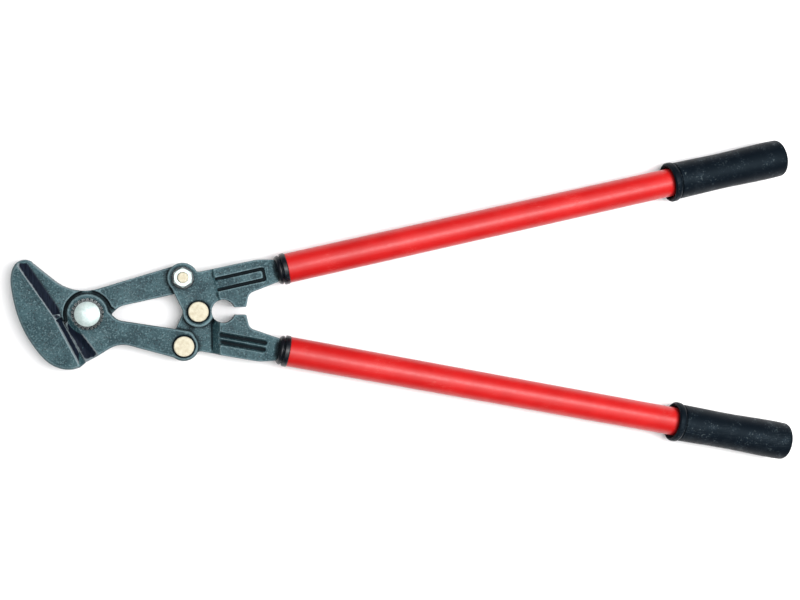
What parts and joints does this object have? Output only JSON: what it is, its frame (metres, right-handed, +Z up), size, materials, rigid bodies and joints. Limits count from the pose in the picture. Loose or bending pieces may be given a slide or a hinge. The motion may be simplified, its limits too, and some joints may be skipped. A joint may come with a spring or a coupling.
{
  "type": "bolt cutters",
  "caption": "Long-handled compound-lever bolt cutters with a hooked jaw and a straight blade, forged head, red tube handles and black rubber grips.",
  "frame": {"origin": "middle of the tool's footprint, on the surface it lies flat on", "axes": "+X along the tool from the jaws to the grips, +Y across it towards the handle that is pinned to the hooked jaw, +Z up out of the flat side"},
  "size_m": [0.9092, 0.3924, 0.0474],
  "materials": {
    "forging": "black-finished forged steel",
    "bright_zinc": "bright zinc-plated steel",
    "dark_steel": "blackened spring steel",
    "yellow_zinc": "pale yellow zinc-plated steel",
    "red_paint": "glossy red enamel on steel tube",
    "black_plastic": "satin black plastic",
    "black_rubber": "smooth black rubber"
  },
  "bodies": {
    "hook_side": {"upper_jaw": "forging", "pivot_bolt": "bright_zinc", "pivot_lock_washer": "dark_steel", "pivot_washer": "bright_zinc", "pivot_nut": "bright_zinc", "upper_link_bolt": "yellow_zinc", "upper_link_washer": "dark_steel", "upper_link_nut": "bright_zinc"},
    "blade_side": {"lower_jaw": "forging", "lower_link_bolt": "yellow_zinc", "lower_link_washer": "yellow_zinc", "lower_link_nut": "yellow_zinc"},
    "upper_handle": {"upper_lever": "forging", "centre_bolt": "yellow_zinc", "centre_washer": "yellow_zinc", "centre_nut": "yellow_zinc", "upper_collar": "black_plastic", "upper_tube": "red_paint", "upper_grip": "black_rubber"},
    "lower_handle": {"lower_lever": "forging", "lower_collar": "black_plastic", "lower_tube": "red_paint", "lower_grip": "black_rubber"}
  },
  "joints": [
    {"name": "jaw_pivot", "type": "hinge", "parent": "hook_side", "child": "blade_side", "pos_m": [-0.37575, 0, 0.0237], "axis": [0, 0, 1], "range_deg": [-1.77, 13.93]},
    {"name": "upper_handle_swing", "type": "hinge", "parent": "hook_side", "child": "upper_handle", "pos_m": [-0.27405, 0.0377, 0.0237], "axis": [0, 0, 1], "range_deg": [-4.6, 37]},
    {"name": "lower_handle_swing", "type": "hinge", "parent": "blade_side", "child": "lower_handle", "pos_m": [-0.27405, -0.0377, 0.0237], "axis": [0, 0, -1], "range_deg": [-4.6, 37]}
  ],
  "couplings": [
    {"joint": "jaw_pivot", "follows": "upper_handle_swing", "ratio": 0.375},
    {"joint": "lower_handle_swing", "follows": "upper_handle_swing", "ratio": 1}
  ]
}
